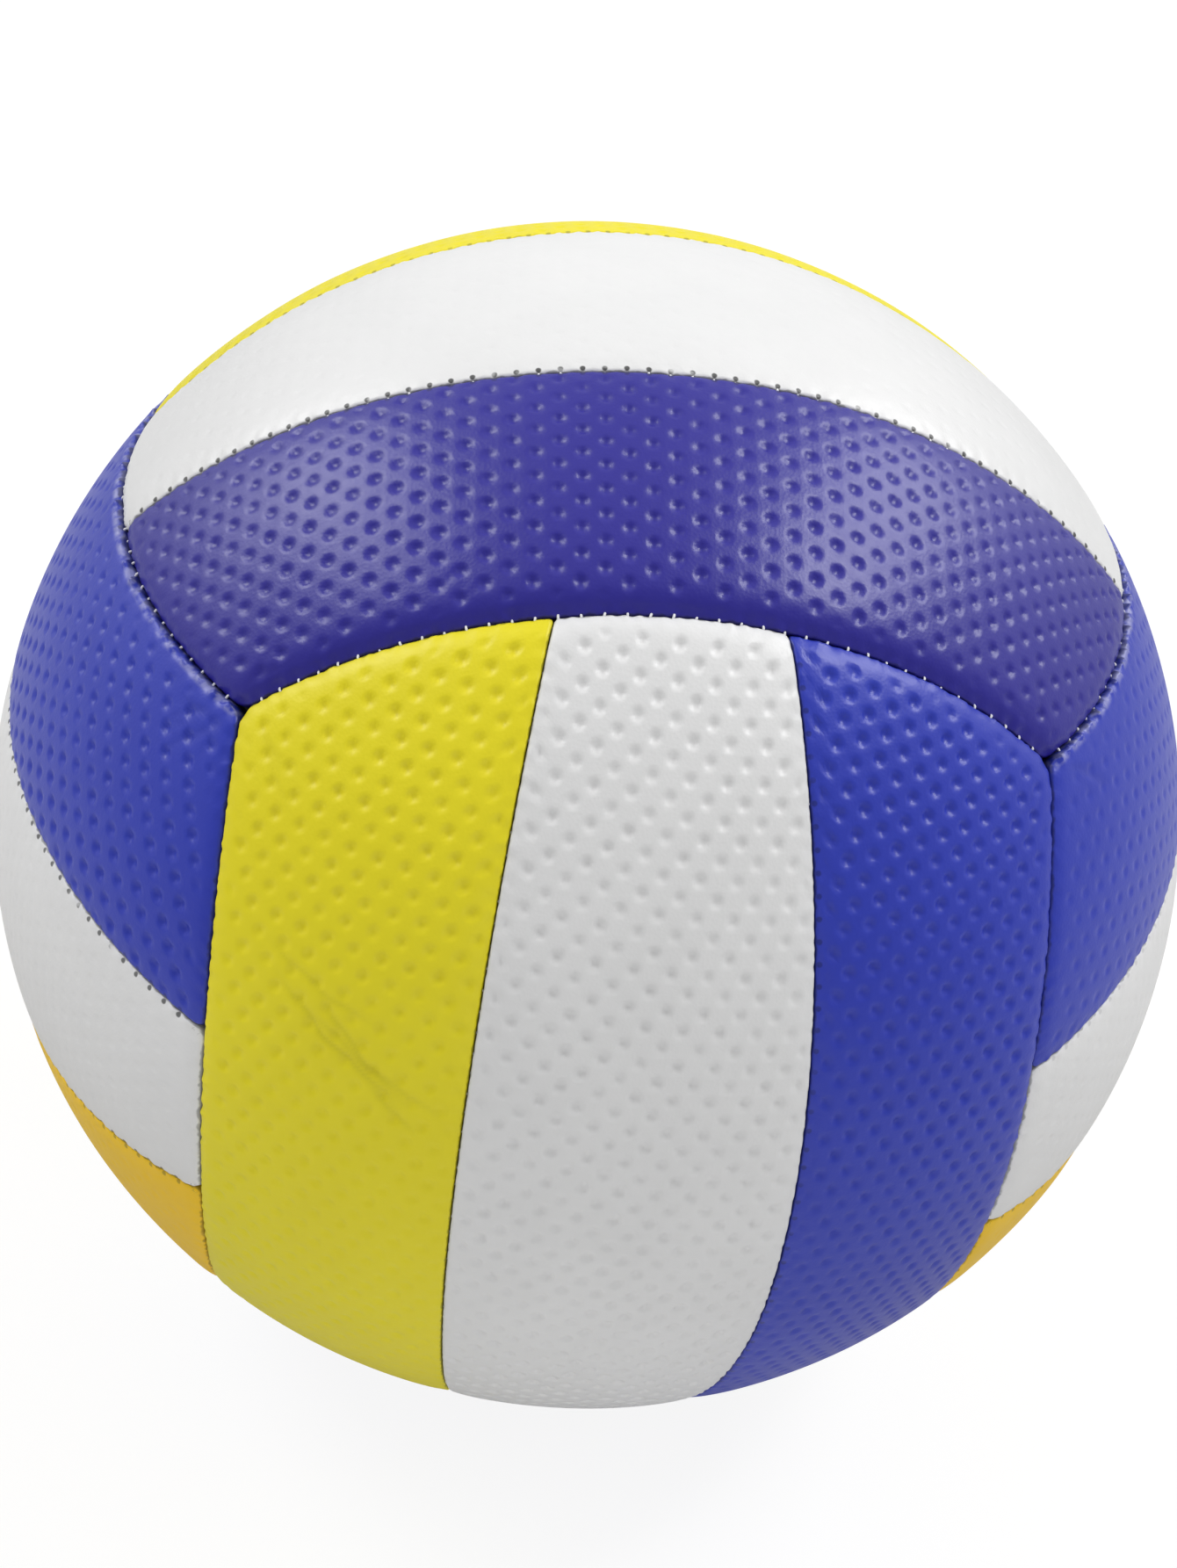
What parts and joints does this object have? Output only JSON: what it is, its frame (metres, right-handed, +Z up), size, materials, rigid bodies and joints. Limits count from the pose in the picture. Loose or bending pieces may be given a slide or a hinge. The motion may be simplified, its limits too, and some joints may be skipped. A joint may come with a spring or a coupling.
{
  "type": "volleyball",
  "caption": "Padded ball covered by groups of long sewn strips that interlock at right angles, with an air bladder and a needle valve, for indoor volleyball.",
  "frame": {"origin": "centre of the ball", "axes": "+Z up through the middle strip of the top group, -Y out of the front group, whose strips stand upright, +X out of the right group; the needle bore opens along +Y"},
  "size_m": [0.21, 0.2099, 0.21],
  "materials": {
    "skin_royal_blue": "embossed synthetic leather, satin with a soft shine",
    "skin_indigo": "embossed synthetic leather, satin with a soft shine",
    "skin_white": "embossed synthetic leather, satin with a soft shine",
    "skin_lemon": "embossed synthetic leather, satin with a soft shine",
    "skin_gold": "embossed synthetic leather, satin with a soft shine",
    "foam": "closed-cell foam, matte",
    "cloth": "woven cloth, matte",
    "thread": "waxed polyester thread",
    "bladder_rubber": "matte",
    "housing_rubber": "matte",
    "plug_rubber": "matte"
  },
  "bodies": {
    "root": {"panel_front_left": "skin_lemon", "panel_front_middle": "skin_white", "panel_front_right": "skin_royal_blue", "panel_back_right": "skin_royal_blue", "panel_back_middle": "skin_white", "panel_back_left": "skin_lemon", "panel_top_front": "skin_indigo", "panel_top_middle": "skin_white", "panel_top_back": "skin_lemon", "panel_bottom_front": "skin_indigo", "panel_bottom_middle": "skin_white", "panel_bottom_back": "skin_lemon", "panel_left_lower": "skin_gold", "panel_left_middle": "skin_white", "panel_left_upper": "skin_royal_blue", "panel_right_upper": "skin_royal_blue", "panel_right_middle": "skin_white", "panel_right_lower": "skin_gold", "foam_front_left": "foam", "foam_front_middle": "foam", "foam_front_right": "foam", "foam_back_right": "foam", "foam_back_middle": "foam", "foam_back_left": "foam", "foam_top_front": "foam", "foam_top_middle": "foam", "foam_top_back": "foam", "foam_bottom_front": "foam", "foam_bottom_middle": "foam", "foam_bottom_back": "foam", "foam_left_lower": "foam", "foam_left_middle": "foam", "foam_left_upper": "foam", "foam_right_upper": "foam", "foam_right_middle": "foam", "foam_right_lower": "foam", "lining_front": "cloth", "lining_back": "cloth", "lining_top": "cloth", "lining_bottom": "cloth", "lining_left": "cloth", "lining_right": "cloth", "thread_strips": "thread", "thread_groups": "thread", "bladder": "bladder_rubber", "valve_housing": "housing_rubber", "valve_plug": "plug_rubber"}
  },
  "joints": []
}
